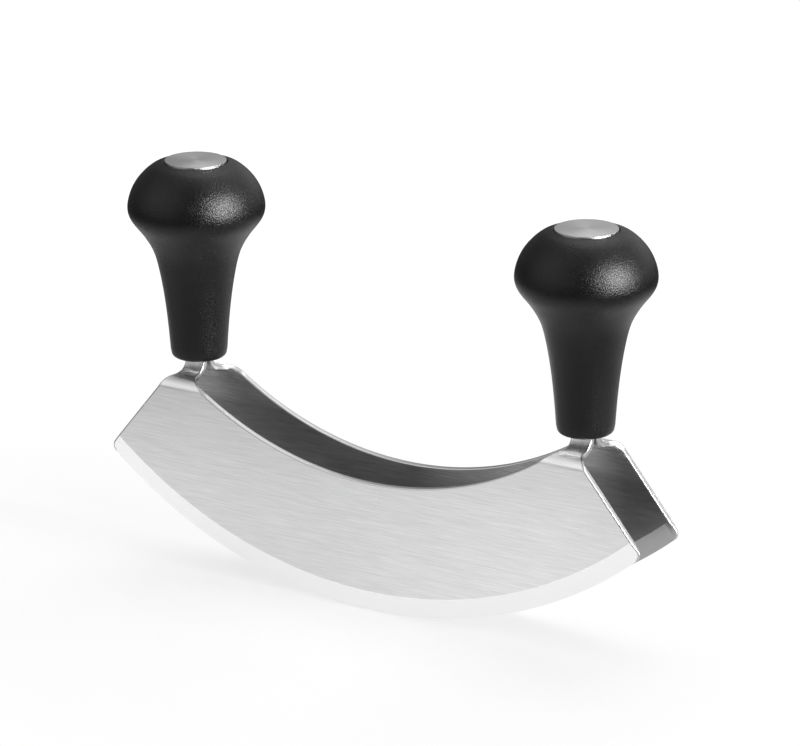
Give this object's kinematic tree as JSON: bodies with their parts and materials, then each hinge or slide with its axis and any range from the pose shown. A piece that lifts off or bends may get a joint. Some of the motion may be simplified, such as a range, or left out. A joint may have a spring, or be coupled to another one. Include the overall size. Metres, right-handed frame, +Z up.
{
  "type": "double-bladed mincing knife",
  "caption": "Rocking mincing knife with parallel curved steel blades whose bent tangs carry upright turned knob handles with flat steel discs in their tops.",
  "frame": {"origin": "midway between the blades and between the handles, level with the lowest point of the cutting edges", "axes": "+X along the blades towards the right handle, +Y from the front blade to the rear blade, +Z up through the handles"},
  "size_m": [0.2278, 0.0506, 0.1542],
  "materials": {
    "blade_steel": "stainless blade steel, fine lengthwise grind lines, polished bevel",
    "handle_plastic": "black moulded plastic with a fine spark-eroded grain",
    "cap_steel": "satin steel disc with a bright chamfer",
    "fastener_steel": "plain machined steel, hidden inside the handle"
  },
  "bodies": {
    "root": {"front_blade": "blade_steel", "rear_blade": "blade_steel", "left_handle": "handle_plastic", "right_handle": "handle_plastic", "left_end_cap": "cap_steel", "right_end_cap": "cap_steel", "left_stud": "fastener_steel", "right_stud": "fastener_steel", "left_lower_rivet": "fastener_steel", "left_upper_rivet": "fastener_steel", "right_lower_rivet": "fastener_steel", "right_upper_rivet": "fastener_steel", "left_washer": "fastener_steel", "right_washer": "fastener_steel", "left_nut": "fastener_steel", "right_nut": "fastener_steel"}
  },
  "joints": []
}
